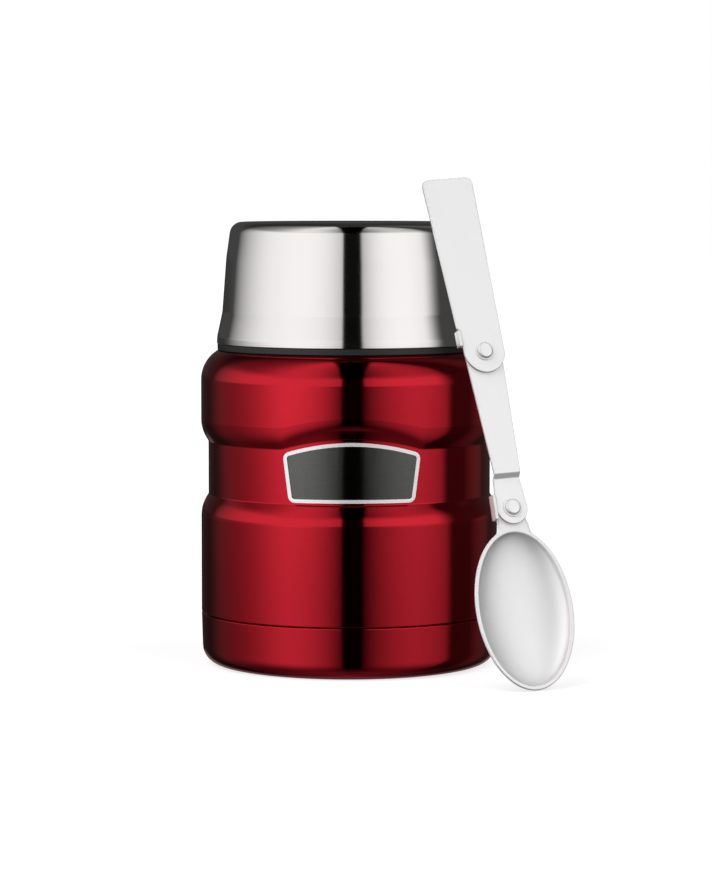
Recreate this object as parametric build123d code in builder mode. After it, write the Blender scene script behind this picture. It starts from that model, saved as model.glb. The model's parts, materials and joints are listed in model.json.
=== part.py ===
from build123d import *

import os
from math import atan2, cos, pi, radians, sin, sqrt, tan

# An insulated food jar with a screw stopper, a cup lid and a folding spoon that leans on it.
# All sizes are in mm. The jar stands on z = 0, its axis is Z and its badge faces -Y.

# Jar body
body_r = 48.0
sheet = 0.6  # painted or bare stainless sheet
shoulder_z = 101.6
slope_width = 5.4  # from the wall in to where the sloping shoulder turns level
slope_degrees = 33.0  # of that slope, from level
shoulder_fillet = 11.0
crest_fillet = 0.3
waist_depth = 2.35
waist_low_z = 51.2  # where the wall starts to turn in to the waist
waist_height = 25.1  # from there to where it is back at full radius
waist_turn = 4.0  # height of each sloping turn between wall and waist
wall_fillet = 11.0
waist_fillet = 0.8
seam_z = 17.0  # joint between the outer shell and the base shell
base_fillet = 6.0
base_taper = 0.7
joggle = 1.4  # step that lets the base shell cover the outer shell's lower end
joggle_length = 9.0  # from the seam down to the outer shell's lower end

# Arch of the waist's upper edge over the badge
arch_margin = 0.6  # how far the arch reaches past the badge's upper corners
arch_rise = 3.6
arch_skirt = 2.0  # how far the recess reaches below the waist's straight edge

# Neck and mouth
shoulder_width = 12.0  # from the wall in to the neck
neck_height = 11.4
neck_fillet = 1.0
rim_thickness = 0.5

# Food vessel
liner_sheet = 0.5
wall_vacuum_gap = 5.6
floor_vacuum_gap = 3.2
shoulder_vacuum_gap = 2.5
liner_fillet = 6.0
liner_neck_fillet = 1.5
neck_vacuum_gap = 0.9

# Vacuum bottom, its sealing bead and the getter
bottom_rim_height = 3.0
dimple_r = 4.5
dimple_height = 1.6
vacuum_hole_r = 0.8
bead_r = 3.2
bead_height = 1.1
bead_fillet = 0.4
getter_r = 5.0
getter_height = 2.2
getter_offset = 20.0
getter_chamfer = 0.4

# Badge
badge_foot_gap = 0.7  # from the waist's lower turn to the badge
badge_side = 15.2
badge_rise = 3.7  # of its arched top over its corners
badge_half_low = 19.7
badge_half_high = 21.6
badge_corner = 2.2
badge_border = 1.1
badge_thickness = 1.2
badge_field_sunk = 0.4

# Threads: three starts, right-handed
thread_starts = 3
thread_pitch = 4.0
thread_span = 140.0  # degrees of turn that each ridge covers
thread_depth = 1.0
thread_root = 1.5
thread_crest = 0.8
thread_bury = 0.25  # how far a ridge's root lies in its wall
thread_clearance = 0.3
neck_thread_rise = 2.4  # from the shoulder to the neck's ridges
cap_thread_rise = 0.8  # from the skirt's end to the cap's outer ridges

# Stopper
cap_wall = 1.4
cap_foot_gap = 0.8  # from the shoulder to the skirt's end
cap_roof = 1.4
cap_knee_drop = 1.5  # from the neck's top down to where the skirt starts to narrow
cap_edge = 0.4
cap_bend = 2.0
tray_wall = 1.6
tray_step = 1.7  # from the skirt in to the tray
tray_taper = 0.7
tray_rise = 7.8  # from the roof to the tray's floor
tray_floor = 1.4
tray_depth = 11.1
tray_edge = 0.7
tray_fillet = 1.5
roof_opening_gap = 0.1
plug_gap = 1.1  # from the plug to the mouth
plug_wall = 2.2
plug_reach = 12.4  # from the neck's top down to the plug's bottom
plug_fillet = 3.0
flange_thickness = 1.4
foam_clearance = 0.1
gasket_height = 2.8
gasket_drop = 4.8  # from the neck's top down to the gasket's lower edge
gasket_depth = 0.9  # how deep the gasket sits in the plug's groove
gasket_lip = 0.4
seal_clearance = 0.1

# Cup lid
cup_step = 5.15  # from the body's wall in to the cup's rim
cup_foot_gap = 2.3  # from the shoulder to the cup's rim
cup_headroom = 8.1  # from the tray's rim to the cup's top
cup_top_in = 4.75  # how far the cup's top stands in from its rim, and so on down
cup_mid_in = 3.1
cup_mid_drop = 12.3
cup_waist_in = 1.8
cup_waist_rise = 10.1  # from the cup's rim
cup_band_in = 0.1
cup_band_rise = 2.2
cup_fillet = 4.0
cup_bend = 30.0
cup_liner_gap = 0.15
cup_liner_wall = 1.2
cup_thread_rise = 4.1  # from the cup's rim to the top of its threaded wall
ring_gap = 0.1  # from the ring to the shoulder
ring_slack = 0.05
ring_recess = 0.2  # how far the ring stands back from the cup's edge
ring_inner_gap = 0.4
ring_tongue_in = 1.3  # from the cup's rim in to the tongue
ring_tongue_wall = 0.4
ring_tongue_height = 1.6
ring_fillet = 0.4

# Folding spoon
plate = 1.0
layer_gap = 0.05
link_step = 1.5  # set-back of the link's lower end, so the folded handle clears the lower rivet
handle_length = 57.3  # from the upper rivet to the end
handle_end_half = 8.8
handle_root_half = 7.7
handle_eye_r = 7.0
handle_corner = 2.4
link_length = 50.2  # between the rivets
link_root_half = 6.4
link_waist_half = 4.5
link_eye_r = 5.3
link_step_at = 10.0  # from the lower rivet
bowl_neck_length = 6.35  # from the lower rivet to the dish's rim
bowl_length = 51.5
bowl_half = 16.6
bowl_depth = 6.0
bowl_rim = 1.4
bowl_floor_share = 0.35  # size of the dish's flat floor, as a share of its mouth
bowl_neck_half = 4.6
bowl_neck_fillet = 4.0
tab_thickness = 1.0
tab_gap = 0.3
upper_tab_low = 1.8  # from the upper rivet, along the link
upper_tab_high = 7.0
upper_tab_proud = 1.0  # how far it stands above the handle
lower_tab_half = 4.0
lower_tab_under = 0.3  # how far it stays below the folded handle
rivet_r = 1.5
rivet_clearance = 0.05
rivet_head_r = 2.55
rivet_head_height = 0.9
rivet_head_fillet = 0.8
rivet_tail_height = 0.7
washer_r = 3.1
washer_thickness = 0.3

# How the spoon leans
spoon_yaw = 22.0  # degrees that its face turns to the right of the badge's direction
spoon_lean = 20.1  # degrees from upright
handle_tilt = 4.2  # degrees to the left of upright, in the spoon's own plane
link_tilt = 3.0
bowl_tilt = -0.5
rest_azimuth = 41.1  # where the handle's back edge meets the cup, to the right of the badge
rest_gap = 0.3
floor_gap = 0.2


def turned_face(*corners):
    """Face of a turned section, from corners given as (radius, height, fillet)."""
    with BuildSketch(Plane.XZ) as section:
        with BuildLine():
            FilletPolyline(
                *[(radius, height) for radius, height, _ in corners],
                radius=[corner_fillet for _, _, corner_fillet in corners],
                close=True,
            )
        make_face()
    return section.sketch


def thread_ridge(wall_r, crest_r, low_z):
    """One helical ridge that stands on a cylindrical wall and reaches to crest_r."""
    lead = thread_starts * thread_pitch
    rise = lead * thread_span / 360
    towards = 1 if crest_r > wall_r else -1
    root_r = wall_r - towards * thread_bury
    depth = abs(crest_r - root_r)
    with BuildPart() as ridge:
        with BuildLine() as path:
            Helix(lead, rise, root_r, center=(0, 0, low_z + thread_root / 2))
        start = path.line @ 0
        outward = Vector(start.X, start.Y, 0) * towards
        with BuildSketch(Plane(origin=start, x_dir=outward, z_dir=path.line % 0)):
            with BuildLine():
                Polyline(
                    (0, -thread_root / 2),
                    (depth, -thread_crest / 2),
                    (depth, thread_crest / 2),
                    (0, thread_root / 2),
                    close=True,
                )
            make_face()
        sweep(path=path.line, is_frenet=True)
    return ridge.part


# Jar body: outer shell, base shell, vacuum bottom, food vessel and badge.

waist_r = body_r - waist_depth
skirt_r = body_r - joggle
joggle_end_z = seam_z - joggle_length
waist_high_z = waist_low_z + waist_height
waist_edge_z = waist_high_z - waist_turn
neck_r = body_r - shoulder_width
neck_top_z = shoulder_z + neck_height
badge_low_z = waist_low_z + waist_turn + badge_foot_gap
badge_corner_z = badge_low_z + badge_side
badge_top_z = badge_corner_z + badge_rise
arch_half_width = badge_half_high + arch_margin
everywhere = 4 * neck_top_z
turn_angle = atan2(waist_depth, waist_turn)
slope_angle = radians(slope_degrees)
crest_r = body_r - slope_width


def body_corners(inset):
    """Corners of the body's outline, from its lower end to the neck's top, moved in by inset."""
    turn_shift = inset * tan(turn_angle / 2)
    wall_end_z = shoulder_z - slope_width * tan(slope_angle)
    return [
        (0, joggle_end_z, 0),
        (skirt_r - inset, joggle_end_z, 0),
        (skirt_r - inset, seam_z + inset, 0),
        (body_r - inset, seam_z + inset, 0),
        (body_r - inset, waist_low_z - turn_shift, wall_fillet - inset),
        (waist_r - inset, waist_low_z + waist_turn - turn_shift, waist_fillet + inset),
        (waist_r - inset, waist_edge_z + turn_shift, waist_fillet + inset),
        (body_r - inset, waist_high_z + turn_shift, wall_fillet - inset),
        (
            body_r - inset,
            wall_end_z - inset * tan((pi / 2 - slope_angle) / 2),
            shoulder_fillet - inset,
        ),
        (crest_r - inset * tan(slope_angle / 2), shoulder_z - inset, crest_fillet),
        (neck_r - inset, shoulder_z - inset, neck_fillet),
        (neck_r - inset, neck_top_z, 0),
        (0, neck_top_z, 0),
    ]


def arch_face(grow):
    """Outline of the recess over the badge, grown by the given amount."""
    half = arch_half_width + grow
    low_z = waist_edge_z - arch_skirt
    with BuildSketch(Plane.XZ.offset(waist_r / 2)) as outline:
        with BuildLine():
            ThreePointArc(
                (-half, waist_edge_z), (0, waist_edge_z + arch_rise + grow), (half, waist_edge_z)
            )
            Polyline(
                (half, waist_edge_z), (half, low_z), (-half, low_z), (-half, waist_edge_z)
            )
        make_face()
    return outline.sketch


def arch_recess(inset):
    """The recess over the badge, for a body moved in by inset."""
    with BuildPart() as recess:
        extrude(arch_face(inset), amount=body_r)
        Cylinder(waist_r - inset, everywhere, mode=Mode.SUBTRACT)
    return recess.part


with BuildPart() as shell_core:
    revolve(turned_face(*body_corners(sheet)), axis=Axis.Z)
    add(arch_recess(sheet), mode=Mode.SUBTRACT)

neck_ridge_r = neck_r + thread_depth
neck_ridge_z = shoulder_z + neck_thread_rise

with BuildPart() as outer_shell:
    revolve(turned_face(*body_corners(0)), axis=Axis.Z)
    add(arch_recess(0), mode=Mode.SUBTRACT)
    add(shell_core.part, mode=Mode.SUBTRACT)
    with PolarLocations(0, thread_starts):
        add(thread_ridge(neck_r, neck_ridge_r, neck_ridge_z))


def base_corners(inset):
    """Corners of the base shell's outline, moved in by inset."""
    return [
        (0, inset, 0),
        (body_r - base_taper - inset, inset, base_fillet - inset),
        (body_r - inset, seam_z, 0),
        (0, seam_z, 0),
    ]


with BuildPart() as base_shell:
    revolve(turned_face(*base_corners(0)), axis=Axis.Z)
    revolve(turned_face(*base_corners(sheet)), axis=Axis.Z, mode=Mode.SUBTRACT)

bottom_r = skirt_r - sheet
dimple_z = joggle_end_z + dimple_height

with BuildPart() as outer_bottom:
    revolve(
        turned_face(
            (0, dimple_z, 0),
            (dimple_r, dimple_z, 0),
            (dimple_r, joggle_end_z, 0),
            (bottom_r, joggle_end_z, 0),
            (bottom_r, joggle_end_z + bottom_rim_height, 0),
            (bottom_r - sheet, joggle_end_z + bottom_rim_height, 0),
            (bottom_r - sheet, joggle_end_z + sheet, 0),
            (dimple_r + sheet, joggle_end_z + sheet, 0),
            (dimple_r + sheet, dimple_z + sheet, 0),
            (0, dimple_z + sheet, 0),
        ),
        axis=Axis.Z,
    )
    Cylinder(vacuum_hole_r, everywhere, mode=Mode.SUBTRACT)

with BuildPart() as vacuum_plug:
    revolve(
        turned_face(
            (0, dimple_z - bead_height, 0),
            (bead_r, dimple_z - bead_height, bead_fillet),
            (bead_r, dimple_z, 0),
            (vacuum_hole_r, dimple_z, 0),
            (vacuum_hole_r, dimple_z + sheet, 0),
            (0, dimple_z + sheet, 0),
        ),
        axis=Axis.Z,
    )

with BuildPart() as getter:
    with BuildSketch(Plane.XY.offset(joggle_end_z + sheet)):
        with Locations((getter_offset, 0)):
            Circle(getter_r)
    extrude(amount=getter_height)
    chamfer(getter.edges().group_by(Axis.Z)[-1], getter_chamfer)

liner_r = body_r - sheet - wall_vacuum_gap
liner_floor_z = joggle_end_z + sheet + floor_vacuum_gap
liner_shoulder_z = shoulder_z - sheet - shoulder_vacuum_gap
mouth_outer_r = neck_r - sheet - neck_vacuum_gap
mouth_r = mouth_outer_r - liner_sheet
rim_z = neck_top_z + rim_thickness


def liner_corners(inset):
    """Corners of the food vessel's outline, moved in by inset."""
    return [
        (0, liner_floor_z + inset, 0),
        (liner_r - inset, liner_floor_z + inset, liner_fillet - inset),
        (liner_r - inset, liner_shoulder_z - inset, liner_fillet - inset),
        (mouth_outer_r - inset, liner_shoulder_z - inset, liner_neck_fillet + inset),
        (mouth_outer_r - inset, neck_top_z, 0),
        (0, neck_top_z, 0),
    ]


with BuildPart() as inner_liner:
    revolve(turned_face(*liner_corners(0)), axis=Axis.Z)
    revolve(turned_face(*liner_corners(liner_sheet)), axis=Axis.Z, mode=Mode.SUBTRACT)
    with BuildSketch(Plane.XY.offset(neck_top_z)):
        Circle(neck_r)
        Circle(mouth_r, mode=Mode.SUBTRACT)
    extrude(amount=rim_thickness)


def badge_face(border):
    """Outline of the badge, moved in by border."""
    with BuildSketch(Plane.XZ) as outline:
        with BuildLine():
            ThreePointArc(
                (-badge_half_high, badge_corner_z),
                (0, badge_top_z),
                (badge_half_high, badge_corner_z),
            )
            Polyline(
                (badge_half_high, badge_corner_z),
                (badge_half_low, badge_low_z),
                (-badge_half_low, badge_low_z),
                (-badge_half_high, badge_corner_z),
            )
        make_face()
        fillet(outline.vertices(), badge_corner)
        if border:
            offset(amount=-border, mode=Mode.REPLACE)
    return outline.sketch


with BuildPart() as badge_frame:
    extrude(badge_face(0), amount=body_r)
    extrude(badge_face(badge_border), amount=body_r, mode=Mode.SUBTRACT)
    Cylinder(waist_r + badge_thickness, everywhere, mode=Mode.INTERSECT)
    Cylinder(waist_r, everywhere, mode=Mode.SUBTRACT)

with BuildPart() as badge_field:
    extrude(badge_face(badge_border), amount=body_r)
    Cylinder(waist_r + badge_thickness - badge_field_sunk, everywhere, mode=Mode.INTERSECT)
    Cylinder(waist_r, everywhere, mode=Mode.SUBTRACT)

# Stopper: a cap with the spoon tray, the plug below it, foam between them and a seal.

skirt_inner_r = neck_ridge_r + thread_clearance
skirt_outer_r = skirt_inner_r + cap_wall
skirt_low_z = shoulder_z + cap_foot_gap
cap_ridge_r = skirt_outer_r + thread_depth
cap_ridge_z = skirt_low_z + cap_thread_rise
flange_low_z = rim_z + thread_clearance
roof_low_z = flange_low_z + flange_thickness
roof_high_z = roof_low_z + cap_roof
cap_knee_z = neck_top_z - cap_knee_drop
tray_outer_r = skirt_outer_r - tray_step
tray_inner_r = tray_outer_r - tray_wall
tray_floor_z = roof_high_z + tray_rise
tray_under_z = tray_floor_z - tray_floor
tray_rim_z = tray_floor_z + tray_depth
plug_r = mouth_r - plug_gap
roof_opening_r = plug_r + roof_opening_gap

with BuildPart() as stopper_cap:
    revolve(
        turned_face(
            (skirt_inner_r, skirt_low_z, 0),
            (skirt_outer_r, skirt_low_z, cap_edge),
            (skirt_outer_r, cap_knee_z, cap_bend),
            (tray_outer_r, roof_high_z, cap_bend),
            (tray_outer_r - tray_taper, tray_rim_z, tray_edge),
            (tray_inner_r - tray_taper, tray_rim_z, tray_edge),
            (tray_inner_r, tray_floor_z, tray_fillet),
            (0, tray_floor_z, 0),
            (0, tray_under_z, 0),
            (tray_inner_r, tray_under_z, 0),
            (tray_inner_r, roof_high_z, 0),
            (roof_opening_r, roof_high_z, 0),
            (roof_opening_r, roof_low_z, 0),
            (skirt_inner_r, roof_low_z, cap_edge),
        ),
        axis=Axis.Z,
    )
    with PolarLocations(0, thread_starts):
        add(
            thread_ridge(
                skirt_inner_r, neck_r + thread_clearance, neck_ridge_z + thread_pitch / 2
            )
        )
        add(thread_ridge(skirt_outer_r, cap_ridge_r, cap_ridge_z))

plug_bottom_z = neck_top_z - plug_reach
groove_r = plug_r - gasket_depth
flange_r = neck_r + thread_clearance
gasket_low_z = neck_top_z - gasket_drop
gasket_high_z = gasket_low_z + gasket_height

with BuildPart() as stopper_plug:
    revolve(
        turned_face(
            (0, plug_bottom_z, 0),
            (plug_r, plug_bottom_z, plug_fillet),
            (plug_r, gasket_low_z - seal_clearance, 0),
            (groove_r - seal_clearance, gasket_low_z - seal_clearance, 0),
            (groove_r - seal_clearance, gasket_high_z + seal_clearance, 0),
            (plug_r, gasket_high_z + seal_clearance, 0),
            (plug_r, flange_low_z, 0),
            (flange_r, flange_low_z, 0),
            (flange_r, roof_low_z, 0),
            (plug_r - plug_wall, roof_low_z, 0),
            (plug_r - plug_wall, plug_bottom_z + plug_wall, plug_fillet / 2),
            (0, plug_bottom_z + plug_wall, 0),
        ),
        axis=Axis.Z,
    )

foam_r = plug_r - plug_wall - foam_clearance
foam_wide_r = tray_inner_r - foam_clearance
foam_low_z = plug_bottom_z + plug_wall + foam_clearance
foam_step_z = roof_high_z + foam_clearance
foam_high_z = tray_under_z - foam_clearance

with BuildPart() as stopper_foam:
    revolve(
        turned_face(
            (0, foam_low_z, 0),
            (foam_r, foam_low_z, plug_fillet / 2),
            (foam_r, foam_step_z, 0),
            (foam_wide_r, foam_step_z, 0),
            (foam_wide_r, foam_high_z, 0),
            (0, foam_high_z, 0),
        ),
        axis=Axis.Z,
    )

with BuildPart() as stopper_gasket:
    revolve(
        turned_face(
            (groove_r, gasket_low_z, 0),
            (plug_r, gasket_low_z, 0),
            (mouth_r - seal_clearance, gasket_low_z + gasket_height / 2, gasket_lip),
            (plug_r, gasket_high_z, 0),
            (groove_r, gasket_high_z, 0),
        ),
        axis=Axis.Z,
    )

# Cup lid: the steel cup, its threaded liner and the ring at its lower edge.

cup_rim_r = body_r - cup_step
cup_rim_z = shoulder_z + cup_foot_gap
cup_band_r = cup_rim_r - cup_band_in
cup_band_z = cup_rim_z + cup_band_rise
cup_waist_r = cup_rim_r - cup_waist_in
cup_waist_z = cup_rim_z + cup_waist_rise
cup_top_r = cup_rim_r - cup_top_in
cup_top_z = tray_rim_z + cup_headroom
cup_mid_r = cup_rim_r - cup_mid_in
cup_mid_z = cup_top_z - cup_mid_drop


def cup_corners(inset):
    """Corners of the cup's outline, moved in by inset."""
    return [
        (0, cup_top_z - inset, 0),
        (cup_top_r - inset, cup_top_z - inset, cup_fillet - inset),
        (cup_mid_r - inset, cup_mid_z, cup_bend),
        (cup_waist_r - inset, cup_waist_z, cup_bend),
        (cup_band_r - inset, cup_band_z, 0),
        (cup_rim_r - inset, cup_rim_z, 0),
        (0, cup_rim_z, 0),
    ]


with BuildPart() as cup_shell:
    revolve(turned_face(*cup_corners(0)), axis=Axis.Z)
    revolve(turned_face(*cup_corners(sheet)), axis=Axis.Z, mode=Mode.SUBTRACT)

cup_thread_r = cap_ridge_r + thread_clearance
cup_thread_top_z = cup_rim_z + cup_thread_rise
liner_inset = sheet + cup_liner_gap + cup_liner_wall
ring_tongue_r = cup_rim_r - ring_tongue_in

with BuildPart() as cup_liner:
    revolve(turned_face(*cup_corners(sheet + cup_liner_gap)), axis=Axis.Z)
    revolve(
        turned_face(
            *cup_corners(liner_inset)[:3],
            (cup_waist_r - liner_inset, cup_waist_z, 0),
            (cup_thread_r, cup_thread_top_z, 0),
            (cup_thread_r, cup_rim_z, 0),
            (0, cup_rim_z, 0),
        ),
        axis=Axis.Z,
        mode=Mode.SUBTRACT,
    )
    with BuildSketch(Plane.XY.offset(cup_rim_z)):
        Circle(cup_rim_r)
        Circle(ring_tongue_r - ring_slack, mode=Mode.SUBTRACT)
    extrude(amount=ring_tongue_height + ring_slack, mode=Mode.SUBTRACT)
    with PolarLocations(0, thread_starts):
        add(
            thread_ridge(
                cup_thread_r, skirt_outer_r + thread_clearance, cap_ridge_z + thread_pitch / 2
            )
        )

ring_inner_r = cup_thread_r + ring_inner_gap
ring_outer_r = cup_rim_r - ring_recess
ring_low_z = shoulder_z + ring_gap
ring_high_z = cup_rim_z - ring_slack
tongue_top_z = cup_rim_z + ring_tongue_height

with BuildPart() as cup_ring:
    revolve(
        turned_face(
            (ring_inner_r, ring_low_z, 0),
            (ring_outer_r, ring_low_z, ring_fillet),
            (ring_outer_r, ring_high_z, ring_fillet),
            (ring_tongue_r + ring_tongue_wall, ring_high_z, 0),
            (ring_tongue_r + ring_tongue_wall, tongue_top_z, 0),
            (ring_tongue_r, tongue_top_z, 0),
            (ring_tongue_r, ring_high_z, 0),
            (ring_inner_r, ring_high_z, 0),
        ),
        axis=Axis.Z,
    )

# Folding spoon: handle, link and bowl, joined by two rivets and lying in one leaning plane.

yaw = radians(spoon_yaw)
lean = radians(spoon_lean)
rightward = Vector(cos(yaw), sin(yaw), 0)
upward = Vector(-sin(yaw) * sin(lean), cos(yaw) * sin(lean), cos(lean))
forward = Vector(sin(yaw) * cos(lean), -cos(yaw) * cos(lean), sin(lean))

# Layers, measured forward from the front face of the bowl's neck.
link_low = layer_gap
link_high = link_low + link_step
handle_low = link_high + plate + layer_gap
handle_high = handle_low + plate


def along(tilt, distance):
    """In-plane step of the given length, tilted to the left of upright."""
    return Vector(-sin(radians(tilt)) * distance, cos(radians(tilt)) * distance)


# Rivet centres in the spoon's plane, measured from the bowl's tip.
bowl_reach = bowl_length + bowl_neck_length
lower_rivet = along(bowl_tilt, bowl_reach)
upper_rivet = lower_rivet + along(link_tilt, link_length)

# The handle's back left edge rests against the cup's upper corner, and the tip on the table.
tip_z = floor_gap + plate * sin(lean)
cup_slope = atan2(cup_mid_r - cup_top_r, cup_top_z - cup_mid_z)
cup_corner_r = cup_top_r - cup_fillet * tan((pi / 2 - cup_slope) / 2)
rest_r = cup_corner_r + (cup_fillet + rest_gap) * cos(lean)
rest_z = cup_top_z - cup_fillet + (cup_fillet + rest_gap) * sin(lean)
rest_up = (rest_z - tip_z - handle_low * sin(lean)) / cos(lean)
rest_share = (rest_up - upper_rivet.Y) / handle_length
rest_half = handle_root_half + (handle_end_half - handle_root_half) * rest_share
rest_right = upper_rivet.X + along(handle_tilt, rest_up - upper_rivet.Y).X - rest_half
rest_angle = radians(rest_azimuth)
rest_point = Vector(rest_r * sin(rest_angle), -rest_r * cos(rest_angle), rest_z)
tip = rest_point - rightward * rest_right - upward * rest_up - forward * handle_low


def spoon_plane(pivot, tilt, height):
    """Plane at a rivet, parallel to the spoon's face and turned with a tilted piece."""
    turn = radians(tilt)
    return Plane(
        origin=tip + rightward * pivot.X + upward * pivot.Y + forward * height,
        x_dir=rightward * cos(turn) + upward * sin(turn),
        z_dir=forward,
    )


notch_top = upper_tab_high + tab_gap

with BuildPart() as spoon_handle:
    with BuildSketch(spoon_plane(upper_rivet, handle_tilt, handle_low)) as handle_outline:
        with BuildLine():
            Polyline(
                (-handle_eye_r, 0),
                (-handle_eye_r, notch_top),
                (-handle_root_half, notch_top + handle_root_half - handle_eye_r),
                (-handle_end_half, handle_length),
                (handle_end_half, handle_length),
                (handle_eye_r, 0),
                close=True,
            )
        make_face()
        fillet(handle_outline.vertices().group_by(Axis.Y)[-1], handle_corner)
        Circle(handle_eye_r)
        Circle(rivet_r + rivet_clearance, mode=Mode.SUBTRACT)
    extrude(amount=plate)

upper_tab_inner = handle_eye_r + tab_gap
upper_tab_outer = upper_tab_inner + tab_thickness
upper_tab_length = upper_tab_high - upper_tab_low
upper_tab_top = handle_high + upper_tab_proud
link_end = link_length + link_root_half + tab_thickness
link_face = spoon_plane(lower_rivet, link_tilt, 0)

with BuildPart() as spoon_link:
    with BuildSketch(link_face):
        with BuildLine():
            Polyline(
                (-link_eye_r, 0),
                (-link_waist_half, link_step_at),
                (-link_root_half, link_length),
                (link_root_half, link_length),
                (link_waist_half, link_step_at),
                (link_eye_r, 0),
                close=True,
            )
        make_face()
        Circle(link_eye_r)
        with Locations((0, link_length)):
            Circle(link_root_half)
        with Locations((-upper_tab_outer, link_length + upper_tab_low)):
            Rectangle(upper_tab_outer, upper_tab_length, align=(Align.MIN, Align.MIN))
        with Locations((0, 0), (0, link_length)):
            Circle(rivet_r, mode=Mode.SUBTRACT)
    extrude(amount=link_high + plate)
    with BuildSketch(Plane(link_face.origin, x_dir=link_face.y_dir, z_dir=link_face.x_dir)):
        with BuildLine():
            Polyline(
                (-link_eye_r, link_low),
                (link_step_at - link_step / 2, link_low),
                (link_step_at + link_step / 2, link_high),
                (link_end, link_high),
                (link_end, link_high + plate),
                (link_step_at + link_step / 2, link_high + plate),
                (link_step_at - link_step / 2, link_low + plate),
                (-link_eye_r, link_low + plate),
                close=True,
            )
        make_face()
    extrude(amount=upper_tab_outer, both=True, mode=Mode.INTERSECT)
    with BuildSketch(spoon_plane(upper_rivet, link_tilt, link_high)):
        with Locations((-upper_tab_outer, upper_tab_low)):
            Rectangle(tab_thickness, upper_tab_length, align=(Align.MIN, Align.MIN))
    extrude(amount=upper_tab_top - link_high)

bowl_middle = bowl_length / 2 - bowl_reach
bowl_top = bowl_length - bowl_reach
lower_tab_outer = link_eye_r + tab_gap + tab_thickness
lower_tab_top = handle_low - lower_tab_under
dish_steps = 5


def dish_sections(thickness):
    """Ellipses of the dish from its mouth to its floor, grown outward by thickness."""
    sections = []
    for step in range(dish_steps):
        share = sin(radians(90 * step / (dish_steps - 1)))
        size = sqrt(1 - share**2 * (1 - bowl_floor_share**2))
        height = -share * bowl_depth - thickness
        with BuildSketch(spoon_plane(lower_rivet, bowl_tilt, height)) as section:
            with Locations((0, bowl_middle)):
                Ellipse(
                    (bowl_half - bowl_rim) * size + thickness,
                    (bowl_length / 2 - bowl_rim) * size + thickness,
                )
        sections.append(section.sketch)
    return sections


with BuildPart() as spoon_bowl:
    with BuildSketch(spoon_plane(lower_rivet, bowl_tilt, -plate)) as bowl_outline:
        with Locations((0, bowl_middle)):
            Ellipse(bowl_half, bowl_length / 2)
        with Locations((0, bowl_top - bowl_neck_half)):
            Rectangle(
                2 * bowl_neck_half, bowl_neck_half - bowl_top, align=(Align.CENTER, Align.MIN)
            )
        fillet(
            bowl_outline.vertices().filter_by_position(Axis.Y, bowl_middle / 2, bowl_top / 2),
            bowl_neck_fillet,
        )
        Circle(link_eye_r)
        with Locations((-lower_tab_outer, 0)):
            Rectangle(lower_tab_outer, 2 * lower_tab_half, align=(Align.MIN, Align.CENTER))
        Circle(rivet_r + rivet_clearance, mode=Mode.SUBTRACT)
    extrude(amount=plate)
    loft(dish_sections(plate))
    loft(dish_sections(0), mode=Mode.SUBTRACT)
    with BuildSketch(spoon_plane(lower_rivet, bowl_tilt, 0)):
        with Locations((-lower_tab_outer, 0)):
            Rectangle(tab_thickness, 2 * lower_tab_half, align=(Align.MIN, Align.CENTER))
    extrude(amount=lower_tab_top)

# Each rivet is fixed in the link and turns in the handle or in the bowl's neck.
rivet_seats = [
    (upper_rivet, link_high, handle_high + layer_gap),
    (lower_rivet, -plate - layer_gap, link_low + plate),
]

with BuildPart() as spoon_rivets:
    for pivot, back, front in rivet_seats:
        head = front + washer_thickness
        with BuildSketch(spoon_plane(pivot, link_tilt, back - rivet_tail_height)):
            Circle(rivet_head_r)
        extrude(amount=rivet_tail_height)
        with BuildSketch(spoon_plane(pivot, link_tilt, back)):
            Circle(rivet_r)
        extrude(amount=head - back)
        with BuildSketch(spoon_plane(pivot, link_tilt, head)):
            Circle(rivet_head_r)
        extrude(amount=rivet_head_height)
        outermost = spoon_rivets.edges(Select.LAST).sort_by(Axis(tip, forward))[-1]
        fillet(outermost, rivet_head_fillet)

with BuildPart() as spoon_washers:
    for pivot, back, front in rivet_seats:
        with BuildSketch(spoon_plane(pivot, link_tilt, front)):
            Circle(washer_r)
            Circle(rivet_r, mode=Mode.SUBTRACT)
        extrude(amount=washer_thickness)

pieces = {
    "outer_shell": outer_shell,
    "base_shell": base_shell,
    "outer_bottom": outer_bottom,
    "vacuum_plug": vacuum_plug,
    "getter": getter,
    "inner_liner": inner_liner,
    "badge_frame": badge_frame,
    "badge_field": badge_field,
    "stopper_cap": stopper_cap,
    "stopper_plug": stopper_plug,
    "stopper_foam": stopper_foam,
    "stopper_gasket": stopper_gasket,
    "cup_shell": cup_shell,
    "cup_liner": cup_liner,
    "cup_ring": cup_ring,
    "spoon_handle": spoon_handle,
    "spoon_link": spoon_link,
    "spoon_bowl": spoon_bowl,
    "spoon_rivets": spoon_rivets,
    "spoon_washers": spoon_washers,
}

os.makedirs("parts", exist_ok=True)
for name, piece in pieces.items():
    piece.part.label = name
    export_step(piece.part, f"parts/{name}.step")
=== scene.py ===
import json
from math import atan2, cos, pi, radians, sin, sqrt, tan

import bpy
from mathutils import Matrix, Vector


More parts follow.
